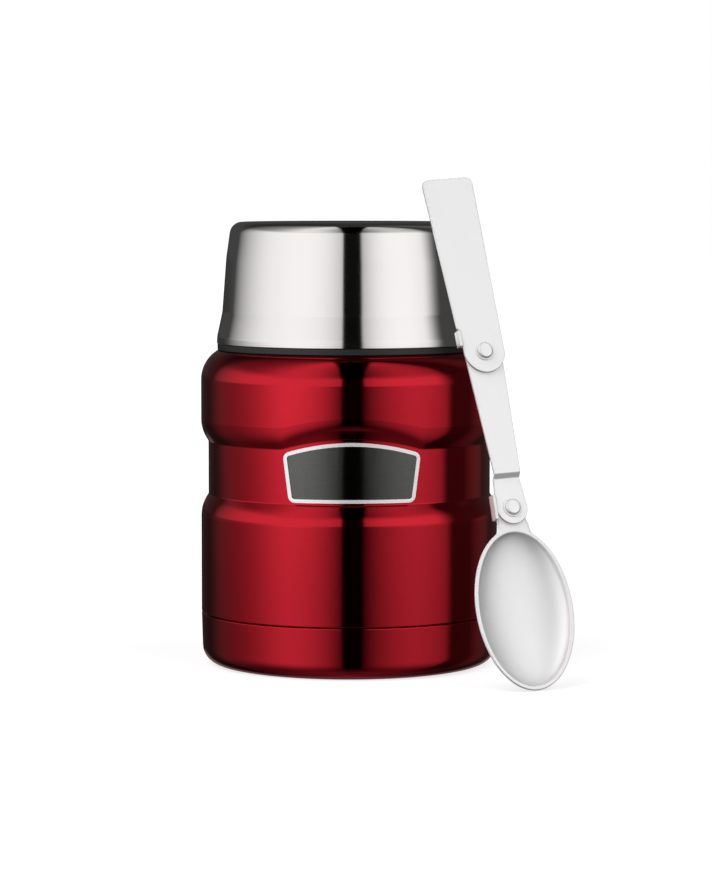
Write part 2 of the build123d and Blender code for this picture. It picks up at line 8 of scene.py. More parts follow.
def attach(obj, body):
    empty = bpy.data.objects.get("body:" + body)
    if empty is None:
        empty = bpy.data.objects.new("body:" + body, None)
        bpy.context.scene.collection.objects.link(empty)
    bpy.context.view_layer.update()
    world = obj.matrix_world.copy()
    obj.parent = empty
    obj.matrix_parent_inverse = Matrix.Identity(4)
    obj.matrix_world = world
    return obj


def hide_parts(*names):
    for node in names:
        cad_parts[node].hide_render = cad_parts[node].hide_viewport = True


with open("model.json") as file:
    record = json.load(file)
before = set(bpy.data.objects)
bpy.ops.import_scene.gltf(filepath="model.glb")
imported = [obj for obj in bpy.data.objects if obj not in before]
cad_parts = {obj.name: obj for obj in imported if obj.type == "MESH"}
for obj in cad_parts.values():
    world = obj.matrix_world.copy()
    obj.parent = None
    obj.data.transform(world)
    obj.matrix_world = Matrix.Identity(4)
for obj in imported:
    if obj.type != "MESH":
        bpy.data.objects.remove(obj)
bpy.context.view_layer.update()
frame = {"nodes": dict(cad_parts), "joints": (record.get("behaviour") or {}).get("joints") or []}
joints = {joint["name"]: joint for joint in frame["joints"]}
mm = 0.001  # sizes below are in millimetres, and the meshes are in metres
same = 0.000001  # metres: points nearer than this are in one place
print("frame loaded:", len(frame["nodes"]), "nodes")


# Camera, floor, lamps and surroundings

cameraSet = {
    "place": (-0.02084, -1.09983, 0.155),
    "turn": -1.2,  # degrees round the jar, to its left
    "pitchDown": 4.376,
    "lens": 137.6,  # for a 36 mm sensor on the long side
}


def setCamera():
    data = bpy.data.cameras.new("camera")
    data.lens = cameraSet["lens"]
    data.sensor_width = 36
    data.clip_start = 0.01
    data.clip_end = 50
    camera = bpy.data.objects.new("camera", data)
    bpy.context.scene.collection.objects.link(camera)
    camera.location = cameraSet["place"]
    camera.rotation_euler = (radians(90 - cameraSet["pitchDown"]), 0, radians(cameraSet["turn"]))
    bpy.context.scene.camera = camera


# Shader maths: a socket that adds its own Math nodes.
class Wire:
    def __init__(self, tree, socket):
        self.tree = tree
        self.socket = socket

    def maths(self, operation, other=None, swap=False):
        node = self.tree.nodes.new("ShaderNodeMath")
        node.operation = operation
        values = [self] if other is None else [other, self] if swap else [self, other]
        for index, value in enumerate(values):
            if isinstance(value, Wire):
                self.tree.links.new(value.socket, node.inputs[index])
            else:
                node.inputs[index].default_value = value
        return Wire(self.tree, node.outputs[0])

    def part(self, index):
        return Wire(self.tree, self.socket.node.outputs[index])

    def __add__(self, other):
        return self.maths("ADD", other)

    def __radd__(self, other):
        return self.maths("ADD", other)

    def __sub__(self, other):
        return self.maths("SUBTRACT", other)

    def __rsub__(self, other):
        return self.maths("SUBTRACT", other, swap=True)

    def __mul__(self, other):
        return self.maths("MULTIPLY", other)

    def __rmul__(self, other):
        return self.maths("MULTIPLY", other)

    def __truediv__(self, other):
        return self.maths("DIVIDE", other)


# A material's or the world's node tree, written as Python.
class Shader:
    def __init__(self, tree):
        self.tree = tree
        self.tree.nodes.clear()

    def add(self, kind, settings=None, output=0, **sockets):
        node = self.tree.nodes.new("ShaderNode" + kind)
        for key, value in (settings or {}).items():
            if key == "stops":
                ramp = node.color_ramp
                while len(ramp.elements) < len(value):
                    ramp.elements.new(1.0)
                for element, (place, light) in zip(ramp.elements, value):
                    element.position = place
                    element.color = (light, light, light, 1)
            else:
                setattr(node, key, value)
        for key, value in sockets.items():
            name = key.replace("_", " ")
            socket = node.inputs[int(name[2:])] if name.startswith("at") else node.inputs[name]
            if isinstance(value, Wire):
                self.tree.links.new(value.socket, socket)
            else:
                socket.default_value = value
        return Wire(self.tree, node.outputs[output]) if node.outputs else None


# Two colours mixed by a stain, a grain that raises the surface, and how rough it is.
# A pattern is its scale, detail and stretch, a bump its strength and depth in metres, and
# rough its least, its spread and the pattern that it follows.
finishSet = {
    "redLacquer": {
        "dark": (0.585, 0.0155, 0.029), "light": (0.645, 0.0205, 0.038),
        "stain": (18, 2), "flakes": (2600, 1), "grain": (420, 1), "bump": (0.02, 0.0003),
        "rough": (0.05, 0.03, "stain"),
        "plain": {"Metallic": 1.0, "Coat_Weight": 0.04, "Coat_Roughness": 0.02},
    },
    "satinSteel": {
        "dark": (0.90, 0.875, 0.86), "light": (0.95, 0.925, 0.91), "stain": (30, 2),
        "grain": (60, 3, (1, 1, 60)), "bump": (0.04, 0.0001), "rough": (0.04, 0.05, "grain"),
        "plain": {"Metallic": 1.0},
    },
    "brightSteel": {
        "dark": (0.94, 0.94, 0.94), "light": (0.98, 0.98, 0.98), "stain": (40, 2),
        "grain": (900, 2, (1, 1, 0.08)), "bump": (0.03, 0.0001), "rough": (0.16, 0.1, "grain"),
        "plain": {"Metallic": 0.58},
    },
    "bowlSteel": {
        "dark": (0.94, 0.94, 0.94), "light": (0.98, 0.98, 0.98), "stain": (120, 2),
        "rough": (0.42, 0.06, "stain"), "plain": {"Metallic": 0.6},
    },
    "vesselSteel": {
        "dark": (0.66, 0.66, 0.65), "light": (0.78, 0.78, 0.77), "stain": (40, 3, (1, 1, 40)),
        "bump": (0.05, 0.0001), "rough": (0.22, 0.12, "stain"), "plain": {"Metallic": 1.0},
    },
    "blackPlastic": {
        "dark": (0.011, 0.012, 0.013), "light": (0.02, 0.021, 0.023), "stain": (60, 3),
        "grain": (2200, 2), "bump": (0.25, 0.0001), "rough": (0.36, 0.12, "stain"),
    },
    "paleSilicone": {
        "dark": (0.40, 0.41, 0.42), "light": (0.47, 0.48, 0.49), "stain": (300, 2),
        "bump": (0.1, 0.0001), "rough": (0.5, 0.1, "stain"),
    },
    "foamCells": {
        "dark": (0.84, 0.81, 0.71), "light": (0.9, 0.88, 0.8), "cells": 900.0,
        "bump": (0.4, 0.0003), "plain": {"Roughness": 0.9},
    },
    "badgeRim": {
        "dark": (0.98, 0.98, 0.98), "light": (1, 1, 1), "stain": (200, 2),
        "rough": (0.24, 0.06, "stain"), "plain": {"Metallic": 0.5},
    },
    "badgePlate": {
        "dark": (0.115, 0.117, 0.108), "light": (0.15, 0.152, 0.142),
        "stain": (1500, 2, (0.05, 1, 1)), "bump": (0.05, 0.0001), "rough": (0.08, 0.06, "stain"),
        "plain": {"Metallic": 1.0},
    },
    "getterPowder": {
        "dark": (0.2, 0.2, 0.21), "light": (0.34, 0.34, 0.36), "stain": (1800, 3),
        "bump": (0.5, 0.0003), "plain": {"Metallic": 0.6, "Roughness": 0.7},
    },
}


def makeFinish(name, finish):
    material = bpy.data.materials.new(name)
    material.use_nodes = True
    shader = Shader(material.node_tree)
    place = shader.add("TexCoord", output=3)

    def pattern(scale, detail, stretch=(1, 1, 1)):
        moved = shader.add("Mapping", Vector=place, Scale=stretch)
        return shader.add("TexNoise", Vector=moved, Scale=scale, Detail=detail, Roughness=0.5)

    if "cells" in finish:
        stain = shader.add("TexVoronoi", Vector=place, Scale=finish["cells"])
    else:
        stain = pattern(*finish["stain"])
    grain = pattern(*finish["grain"]) if "grain" in finish else stain
    mixed = stain * 0.5 + pattern(*finish["flakes"]) * 0.5 if "flakes" in finish else stain
    colours = {"at_6": (*finish["dark"], 1), "at_7": (*finish["light"], 1)}
    links = {"Base_Color": shader.add("Mix", {"data_type": "RGBA"}, 2, at_0=mixed, **colours)}
    if "rough" in finish:
        least, spread, follows = finish["rough"]
        links["Roughness"] = (stain if follows == "stain" else grain) * spread + least
    if "bump" in finish:
        strength, depth = finish["bump"]
        links["Normal"] = shader.add("Bump", Height=grain, Strength=strength, Distance=depth)
    body = shader.add("BsdfPrincipled", **finish.get("plain", {}), **links)
    shader.add("OutputMaterial", Surface=body)
    return material


finishes = {name: makeFinish(name, finish) for name, finish in finishSet.items()}
print("finishes made:", len(finishes))


# Surroundings: soft panels left and right, seen only as light and reflections

studioSet = {
    # Azimuth in degrees, 0 towards the camera and positive to its right. A panel has its
    # brightest place, its light there, how it falls off to its left and to its right, and the
    # edges where it starts and ends. A fall is its kind, its reach and its power.
    "upper": [
        {"middle": -50, "light": 0.97, "left": ("dome", 83, 2), "right": ("dome", 57, 3),
         "start": (-150, -125), "end": (-8, -5.5)},
        {"middle": 50, "light": 0.98, "left": ("dome", 48, 3), "right": ("dome", 60, 2),
         "start": (8.5, 12), "end": (69, 91)},
    ],
    "lower": [
        {"middle": -49, "light": 1.0, "left": ("glow", 31, 2), "right": ("dome", 45, 2),
         "start": (-145, -115), "end": (-8, -5)},
        {"middle": 51, "light": 0.72, "left": ("dome", 43, 1.7), "right": ("dome", 41, 2),
         "start": (7, 10.5), "end": (78, 88)},
        {"middle": 122, "light": 0.08, "left": ("dome", 16, 2), "right": ("dome", 16, 2)},
    ],
    "gap": 0.004,  # the light left in the dark gap between the panels
    # the room beside and behind the panels: its light, how much more on the right, and where
    "roomUpper": (0.05, 0.0), "roomLower": (0.035, 0.015), "roomFrom": (60, 90),
    # the share of that light by elevation in degrees: its least, and each step up or down
    "least": 0.05,
    "steps": [(-66, -12, 0.55), (-8, -3, 0.25), (18, 27, -0.14), (27, 60, -0.07),
              (65, 95, -0.2)],
    # a separate panel behind, by azimuth and by elevation
    "behind": [(-180, 0.5), (-164, 0.5), (-154, 0.0), (154, 0.0), (164, 0.5), (180, 0.5)],
    "behindHeight": [(-90, 0.1), (-45, 0.25), (-14, 0.3), (-9.5, 0.0), (90, 0.0)],
    # light that the floor gives back, and the elevations from which it grows
    "ground": 0.09, "groundFrom": (-42, -75),
    "strength": 1.18,
    # the rest by the upward part of the direction, from 0 at level to 1 overhead
    "upperFrom": (-0.03, 0.05), "upperTo": (0.36, 0.58),
    # the dark gap overhead: its middle and half width eastward, where it starts, and how far back
    "gapMiddle": 0.025, "gapHalf": (0.12, 0.17), "gapFrom": (0.3, 0.5), "gapBack": (0.2, -0.1),
}


def makeSurroundings():
    world = bpy.data.worlds.new("studio")
    bpy.context.scene.world = world
    world.use_nodes = True
    shader = Shader(world.node_tree)
    direction = shader.add("TexCoord", output=0)
    split = shader.add("SeparateXYZ", Vector=direction)
    east, north, up = (split.part(index) for index in range(3))
    angle = east.maths("ARCTAN2", north * -1.0)
    around = angle * (180 / pi)
    height = up.maths("ARCSINE") * (180 / pi)

    def ramp(name, value, reach):
        places = [((place + reach) / (2 * reach), light) for place, light in studioSet[name]]
        return shader.add("ValToRGB", {"stops": places}, Fac=value / (2 * reach) + 0.5)

    def fade(value, start, end):
        smooth = {"interpolation_type": "SMOOTHSTEP"}
        return shader.add("MapRange", smooth, at_0=value, at_1=start, at_2=end)

    def fall(distance, kind, reach, power):
        spent = (distance.maths("MAXIMUM", 0.0) / reach).maths("POWER", power)
        if kind == "glow":
            return (spent + 1).maths("POWER", -1.0)
        return (1 - spent).maths("MAXIMUM", 0.0)

    def panels(name, room):
        roomLight, more = studioSet[room]
        aside = fade(around.maths("ABSOLUTE"), *studioSet["roomFrom"])
        total = (angle.maths("SINE") * more + roomLight) * aside + studioSet["gap"]
        for panel in studioSet[name]:
            away = around - panel["middle"]
            one = fall(away * -1.0, *panel["left"]) * fall(away, *panel["right"])
            if "start" in panel:
                one = one * fade(around, *panel["start"]) * (1 - fade(around, *panel["end"]))
            total = total + one * panel["light"]
        return total

    upper = panels("upper", "roomUpper")
    lower = panels("lower", "roomLower")
    share = sum((fade(height, start, end) * change for start, end, change in studioSet["steps"]),
                studioSet["least"])
    rise = fade(up, *studioSet["upperFrom"]) - fade(up, *studioSet["upperTo"])
    behind = ramp("behind", around, 180) * ramp("behindHeight", height, 90)
    ground = fade(height, *studioSet["groundFrom"]) * studioSet["ground"]
    light = (lower * (1 - rise) + upper * rise) * share + behind + ground
    beside = fade((east - studioSet["gapMiddle"]).maths("ABSOLUTE"), *studioSet["gapHalf"])
    back = fade(up, *studioSet["gapFrom"]) * fade(north, *studioSet["gapBack"])
    light = light * (1 - back * (1 - beside))
    sight = shader.add("LightPath", output=0)
    glow = shader.add("Background", Color=(1, 1, 1, 1), Strength=light * studioSet["strength"])
    white = shader.add("Background", Color=(1, 1, 1, 1), Strength=1.0)
    shader.add("OutputWorld", Surface=shader.add("MixShader", at_0=sight, at_1=glow, at_2=white))


floorSet = {"size": 12.0, "glow": 0.76, "albedo": 0.3}


def makeFloor():
    bpy.ops.mesh.primitive_plane_add(size=floorSet["size"], location=(0, 0, 0))
    floor = bpy.context.object
    floor.name = "floor"
    material = bpy.data.materials.new("floorPaper")
    material.use_nodes = True
    shader = Shader(material.node_tree)
    albedo = floorSet["albedo"]
    paper = shader.add("BsdfDiffuse", Color=(albedo, albedo, albedo, 1))
    glow = shader.add("Emission", Color=(1, 1, 1, 1), Strength=floorSet["glow"])
    shader.add("OutputMaterial", Surface=shader.add("AddShader", at_0=paper, at_1=glow))
    floor.data.materials.append(material)
    floor.visible_glossy = False
    floor.visible_diffuse = False


lampSet = {
    # directions in degrees: round from the camera to its right, and up; soft is the lamp's width
    "left": {"round": -50, "up": 52, "soft": 50, "strength": 2.2},
    "right": {"round": 60, "up": 48, "soft": 50, "strength": 1.6},
}


def makeLamps():
    for side, lamp in lampSet.items():
        data = bpy.data.lights.new(side + "Lamp", "SUN")
        data.energy = lamp["strength"]
        data.angle = radians(lamp["soft"])
        piece = bpy.data.objects.new(side + "Lamp", data)
        bpy.context.scene.collection.objects.link(piece)
        around, up = radians(lamp["round"]), radians(lamp["up"])
        towards = -Vector((sin(around) * cos(up), -cos(around) * cos(up), sin(up)))
        piece.rotation_euler = towards.to_track_quat("-Z", "Y").to_euler()
        piece.visible_glossy = False


bpy.context.scene.view_settings.view_transform = "Standard"
setCamera()
makeSurroundings()
makeFloor()
makeLamps()
print("studio ready")


# The ways in which pieces are made

def startPiece(name, kind, **settings):
    bpy.ops.object.select_all(action="DESELECT")
    getattr(bpy.ops.mesh, f"primitive_{kind}_add")(**{"location": (0, 0, 0), **settings})
    bpy.context.object.name = name
    return bpy.context.object


def editAll():
    bpy.ops.object.mode_set(mode="EDIT")
    bpy.ops.mesh.select_all(action="SELECT")


# In edit mode, selects the points whose place passes the test.
def selectPoints(piece, chosen):
    bpy.ops.object.mode_set(mode="OBJECT")
    for polygon in piece.data.polygons:
        polygon.select = False
    for edge in piece.data.edges:
        edge.select = False
    for point in piece.data.vertices:
        point.select = chosen(point.co)
    bpy.ops.object.mode_set(mode="EDIT")


def applyModifier(piece, kind, **settings):
    bpy.context.view_layer.objects.active = piece
    modifier = piece.modifiers.new(kind.lower(), kind)
    for key, value in settings.items():
        setattr(modifier, key, value)
    bpy.ops.object.modifier_apply(modifier=modifier.name)


def select(*pieces):
    bpy.ops.object.select_all(action="DESELECT")
    for piece in pieces:
        piece.select_set(True)
    bpy.context.view_layer.objects.active = pieces[0]


def joinPieces(first, *others):
    select(first, *others)
    bpy.ops.object.join()
    return first


# Points of a section, from corners given as (radius, height, fillet).
def rounded(corners, closed):
    points = []
    count = len(corners)
    for index, (radius, height, fillet) in enumerate(corners):
        here = Vector((radius, height))
        atEnd = not closed and index in (0, count - 1)
        if not fillet or atEnd:
            points.append(here)
            continue
        toBefore = (Vector(corners[index - 1][:2]) - here).normalized()
        toAfter = (Vector(corners[(index + 1) % count][:2]) - here).normalized()
        half = toBefore.angle(toAfter) / 2
        middle = here + (toBefore + toAfter).normalized() * fillet / sin(half)
        arm = toBefore * fillet / tan(half) + here - middle
        sweep = pi - 2 * half
        way = 1 if toBefore.x * toAfter.y - toBefore.y * toAfter.x < 0 else -1
        arcSteps = sweep / latheSet["arcStep"], sweep * fillet / latheSet["arcLength"]
        steps = max(2, *map(round, arcSteps))
        for step in range(steps + 1):
            points.append(middle + Matrix.Rotation(way * sweep * step / steps, 2) @ arm)
    return points


latheSet = {"arcStep": radians(11), "arcLength": 0.9, "turns": 180, "merge": 0.000002}


# Turns a section round Z: a closed one is a ring, an open one starts and ends on the axis.
def lathe(name, corners, closed=True):
    points = [Vector((point.x, 0, point.y)) * mm for point in rounded(corners, closed)]
    piece = startPiece(name, "circle", vertices=3, radius=mm)
    editAll()
    bpy.ops.mesh.merge(type="CENTER")
    bpy.ops.transform.translate(value=points[0])
    for before, after in zip(points, points[1:]):
        bpy.ops.mesh.extrude_region_move(TRANSFORM_OT_translate={"value": after - before})
    if closed:
        ends = points[0], points[-1]
        selectPoints(piece, lambda co: any((co - end).length < same for end in ends))
        bpy.ops.mesh.edge_face_add()
    bpy.ops.mesh.select_all(action="SELECT")
    bpy.ops.mesh.spin(steps=latheSet["turns"], angle=2 * pi, center=(0, 0, 0), axis=(0, 0, 1))
    bpy.ops.mesh.select_all(action="SELECT")
    bpy.ops.mesh.remove_doubles(threshold=latheSet["merge"])
    bpy.ops.mesh.normals_make_consistent(inside=False)
    bpy.ops.object.mode_set(mode="OBJECT")
    return piece


threadSet = {"starts": 3, "pitch": 4.0, "span": 140.0, "depth": 1.0, "root": 1.5, "crest": 0.8,
             "bury": 0.25, "gap": 0.3, "steps": 40, "taper": 0.12, "thinnest": 0.15}


# Three helical ridges that stand on a wall and taper off at their ends.
def threads(name, wallRadius, crestRadius, lowHeight):
    lead = threadSet["starts"] * threadSet["pitch"]
    rise = lead * threadSet["span"] / 360
    towards = 1 if crestRadius > wallRadius else -1
    rootRadius = wallRadius - towards * threadSet["bury"]
    middle = lowHeight + threadSet["root"] / 2
    depth = abs(crestRadius - rootRadius)
    ridge = startPiece(name, "plane", size=1, rotation=(pi / 2, 0, 0))
    bpy.ops.object.transform_apply()
    editAll()
    bpy.ops.transform.resize(value=(depth * mm, 1, threadSet["root"] * mm))
    selectPoints(ridge, lambda co: co.x * towards > 0)
    bpy.ops.transform.resize(value=(1, 1, threadSet["crest"] / threadSet["root"]))
    bpy.ops.mesh.select_all(action="SELECT")
    bpy.ops.transform.translate(value=(((rootRadius + crestRadius) / 2) * mm, 0, middle * mm))
    bpy.ops.mesh.delete(type="ONLY_FACE")
    bpy.ops.object.mode_set(mode="OBJECT")
    applyModifier(ridge, "SCREW", axis="Z", angle=radians(threadSet["span"]),
                  steps=threadSet["steps"], render_steps=threadSet["steps"],
                  screw_offset=rise * mm, use_smooth_shade=True)
    tip = threadSet["taper"] * rise
    for point in ridge.data.vertices:
        radius = sqrt(point.co.x ** 2 + point.co.y ** 2)
        turn = (Vector((point.co.x, point.co.y)).angle_signed(Vector((1, 0))) % (2 * pi))
        along = rise * turn / radians(threadSet["span"])
        share = min(1, along / tip, (rise - along) / tip)
        root = rootRadius * mm
        wanted = root + (radius - root) * max(share, threadSet["thinnest"])
        point.co.x *= wanted / radius
        point.co.y *= wanted / radius
    editAll()
    bpy.ops.mesh.fill_holes(sides=4)
    bpy.ops.mesh.normals_make_consistent(inside=False)
    bpy.ops.object.mode_set(mode="OBJECT")
    ridges = [ridge]
    for index in range(1, threadSet["starts"]):
        copy = ridge.copy()
        copy.data = ridge.data.copy()
        bpy.context.scene.collection.objects.link(copy)
        copy.data.transform(Matrix.Rotation(2 * pi * index / threadSet["starts"], 4, "Z"))
        ridges.append(copy)
    return joinPieces(*ridges)


# Shades a made piece and hands it to the frame.
def finishPiece(piece, body, node, finish):
    select(piece)
    bpy.ops.object.shade_smooth()
    applyModifier(piece, "WEIGHTED_NORMAL", mode="FACE_AREA", weight=80, keep_sharp=True)
    piece.data.materials.clear()
    piece.data.materials.append(finishes[finish])
    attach(piece, body)
    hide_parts(node)


# The jar: painted shells, vacuum bottom, food vessel and badge

jarSet = {
    "wall": 48.0, "sheet": 0.6, "shoulder": 101.6, "shoulderReach": 5.4, "slope": 33.0,
    "shoulderFillet": 11.0, "crestFillet": 0.3, "waist": 45.65, "lowTurn": (51.2, 55.2),
    "highTurn": (72.3, 76.3), "wallFillet": 11.0, "waistFillet": 0.8, "seam": 17.0,
    "skirt": 46.6, "skirtLow": 8.0, "seamEdge": 0.42, "seamGap": 0.2, "neck": 36.0,
    "neckTop": 113.0, "neckFillet": 1.0, "neckThread": 104.0, "baseFillet": 6.0, "baseTaper": 0.5,
    # the waist's upper turn over the badge: how far its corner, bend and upper end rise, and
    # where along the turn each of them is
    "archHalf": 22.0, "archRise": 3.55, "archBendRise": 4.6, "archTopRise": 3.1, "archFade": 4.0,
    "archCorner": 0.3, "archBend": 1.4, "archTop": 3.0,
}


# The wall's corners from its lower end to the neck, moved in by inset.
def wallSide(inset):
    jar = jarSet
    wall, waist, shoulder = jar["wall"] - inset, jar["waist"] - inset, jar["shoulder"]
    lowTurn, highTurn = jar["lowTurn"], jar["highTurn"]
    turnShift = inset * tan(atan2(jar["wall"] - jar["waist"], lowTurn[1] - lowTurn[0]) / 2)
    slope = radians(jar["slope"])
    slopeLow = shoulder - jar["shoulderReach"] * tan(slope) - inset * tan((pi / 2 - slope) / 2)
    crest = jar["wall"] - jar["shoulderReach"] - inset * tan(slope / 2)
    return [
        (jar["skirt"] - inset, jar["skirtLow"], 0),
        (jar["skirt"] - inset, jar["seam"] + inset, 0),
        (wall, jar["seam"] + inset, 0 if inset else jar["seamEdge"]),
        (wall, lowTurn[0] - turnShift, jar["wallFillet"] - inset),
        (waist, lowTurn[1] - turnShift, jar["waistFillet"] + inset),
        (waist, highTurn[0] + turnShift, jar["waistFillet"] + inset),
        (wall, highTurn[1] + turnShift, jar["wallFillet"] - inset),
        (wall, slopeLow, jar["shoulderFillet"] - inset),
        (crest, shoulder - inset, jar["crestFillet"]),
        (jar["neck"] - inset, shoulder - inset, jar["neckFillet"]),
        (jar["neck"] - inset, jar["neckTop"], 0),
    ]


# The waist's upper turn rises in an arch over the badge.
def makeOuterShell():
    jar = jarSet
    shell = lathe("outerShell", wallSide(0) + wallSide(jar["sheet"])[::-1])
    low, high = jar["highTurn"]
    stages = [
        (low - jar["waistFillet"], jar["archRise"]),
        (low + jar["archCorner"], jar["archRise"]),
        (low + jar["archBend"], jar["archBendRise"]),
        (high + jar["archTop"], jar["archTopRise"]),
        (high + jar["archTop"] + jar["archFade"], 0.0),
    ]
    for point in shell.data.vertices:
        across = abs(point.co.x) / (jar["archHalf"] * mm)
        height = point.co.z / mm
        if point.co.y < 0 and across < 1:
            for (start, startRise), (end, endRise) in zip(stages, stages[1:]):
                if start <= height < end:
                    rise = startRise + (endRise - startRise) * (height - start) / (end - start)
                    point.co.z += rise * mm * (1 - across ** 2)
    ridges = threads("neckThreads", jar["neck"], jar["neck"] + threadSet["depth"],
                     jar["neckThread"])
    shell = joinPieces(shell, ridges)
    finishPiece(shell, "jar", "outer_shell", "redLacquer")


def makeBaseShell():
    jar = jarSet
    foot, sheet, fillet = jar["wall"] - jar["baseTaper"], jar["sheet"], jar["baseFillet"]
    corners = [
        (0, 0, 0),
        (foot, 0, fillet),
        (jar["wall"], jar["seam"] - jar["seamGap"], jar["seamEdge"]),
        (jar["wall"] - sheet, jar["seam"] - jar["seamGap"], 0),
        (foot - sheet, sheet, fillet - sheet),
        (0, sheet, 0),
    ]
    finishPiece(lathe("baseShell", corners, closed=False), "jar", "base_shell",
                "redLacquer")


vesselSet = {
    "wall": 41.8, "sheet": 0.5, "floor": 11.8, "shoulder": 98.5, "fillet": 6.0, "neck": 34.5,
    "neckFillet": 1.5, "rimTop": 113.5, "rimOuter": 36.0, "rimFillet": 0.22,
}


def makeInnerLiner():
    vessel = vesselSet
    sheet = vessel["sheet"]

    def side(inset):
        return [
            (0, vessel["floor"] + inset, 0),
            (vessel["wall"] - inset, vessel["floor"] + inset, vessel["fillet"] - inset),
            (vessel["wall"] - inset, vessel["shoulder"] - inset, vessel["fillet"] - inset),
            (vessel["neck"] - inset, vessel["shoulder"] - inset, vessel["neckFillet"] + inset),
        ]

    rim = [
        (vessel["neck"], vessel["rimTop"] - sheet, 0),
        (vessel["rimOuter"], vessel["rimTop"] - sheet, vessel["rimFillet"]),
        (vessel["rimOuter"], vessel["rimTop"], vessel["rimFillet"]),
        (vessel["neck"] - sheet, vessel["rimTop"], vessel["rimFillet"]),
    ]
    corners = side(0) + rim + side(sheet)[::-1]
    finishPiece(lathe("innerLiner", corners, closed=False), "jar", "inner_liner",
                "vesselSteel")


bottomSet = {"radius": 46.0, "low": 8.0, "rim": 11.0, "sheet": 0.6, "dimple": 4.5, "dimpleTop": 9.6,
             "hole": 0.8, "edge": 0.4, "bead": 3.2, "beadLow": 8.5, "getterAt": 20.0,
             "getter": 5.0, "getterHeight": 2.2}


def makeVacuumBottom():
    disc = bottomSet
    sheet, edge = disc["sheet"], disc["edge"]
    corners = [
        (disc["hole"], disc["dimpleTop"], 0),
        (disc["dimple"], disc["dimpleTop"], edge),
        (disc["dimple"], disc["low"], edge),
        (disc["radius"], disc["low"], edge),
        (disc["radius"], disc["rim"], 0),
        (disc["radius"] - sheet, disc["rim"], 0),
        (disc["radius"] - sheet, disc["low"] + sheet, edge),
        (disc["dimple"] + sheet, disc["low"] + sheet, edge),
        (disc["dimple"] + sheet, disc["dimpleTop"] + sheet, edge),
        (disc["hole"], disc["dimpleTop"] + sheet, 0),
    ]
    finishPiece(lathe("outerBottom", corners), "jar", "outer_bottom", "satinSteel")
    corners = [
        (0, disc["beadLow"], 0),
        (disc["bead"], disc["beadLow"], edge),
        (disc["bead"], disc["dimpleTop"], 0),
        (disc["hole"], disc["dimpleTop"], 0),
        (disc["hole"], disc["dimpleTop"] + sheet, 0),
        (0, disc["dimpleTop"] + sheet, 0),
    ]
    finishPiece(lathe("vacuumPlug", corners, closed=False), "jar", "vacuum_plug",
                "paleSilicone")
    low = disc["low"] + sheet
    corners = [
        (0, low, 0),
        (disc["getter"], low, 0),
        (disc["getter"], low + disc["getterHeight"], edge),
        (0, low + disc["getterHeight"], 0),
    ]
    pellet = lathe("getterPellet", corners, closed=False)
    pellet.data.transform(Matrix.Translation((disc["getterAt"] * mm, 0, 0)))
    finishPiece(pellet, "jar", "getter", "getterPowder")


badgeSet = {
    "low": 55.9, "corner": 71.1, "top": 74.8, "halfLow": 19.7, "halfHigh": 21.6, "round": 1.76,
    "border": 1.1, "proud": 1.2, "sunk": 0.4, "edge": 0.22, "strips": 22, "arcPoints": 24,
}


# The badge as one flat face in XZ, with its arched top and round corners.
def badgeOutline(name):
    badge = badgeSet
    half, arc = badge["halfHigh"] * mm, (badge["top"] - badge["corner"]) * mm
    arcRadius = (half ** 2 + arc ** 2) / (2 * arc)
    plate = startPiece(name, "plane", size=2, rotation=(pi / 2, 0, 0))
    bpy.ops.object.transform_apply()
    for point in plate.data.vertices:
        upper = point.co.z > 0
        point.co.x *= (badge["halfHigh"] if upper else badge["halfLow"]) * mm
        point.co.z = (badge["corner"] if upper else badge["low"]) * mm
        point.co.y = 0
    editAll()
    selectPoints(plate, lambda co: co.z > badge["corner"] * mm - same)
    bpy.ops.mesh.subdivide(number_cuts=badge["arcPoints"])
    bpy.ops.object.mode_set(mode="OBJECT")
    for point in plate.data.vertices:
        if point.co.z > badge["corner"] * mm - same:
            point.co.z += sqrt(arcRadius ** 2 - point.co.x ** 2) - arcRadius + arc
    ends = (badge["halfLow"], badge["low"]), (badge["halfHigh"], badge["corner"])
    corners = [Vector((side * half, 0, height)) * mm for side in (-1, 1) for half, height in ends]
    selectPoints(plate, lambda co: any((co - corner).length < same for corner in corners))
    bpy.ops.mesh.bevel(offset=badge["round"] * mm, affect="VERTICES", segments=6,
                       clamp_overlap=False)
    bpy.ops.object.mode_set(mode="OBJECT")
    return plate


# Cuts the flat piece into strips and lays it on the waist.
def wrapBadge(piece):
    editAll()
    half = badgeSet["halfHigh"] * mm
    for index in range(1, badgeSet["strips"]):
        bpy.ops.mesh.select_all(action="SELECT")
        across = -half + 2 * half * index / badgeSet["strips"]
        bpy.ops.mesh.bisect(plane_co=(across, 0, 0), plane_no=(1, 0, 0))
    bpy.ops.object.mode_set(mode="OBJECT")
    for point in piece.data.vertices:
        radius = jarSet["waist"] * mm - point.co.y
        point.co.y = -sqrt(radius ** 2 - point.co.x ** 2)


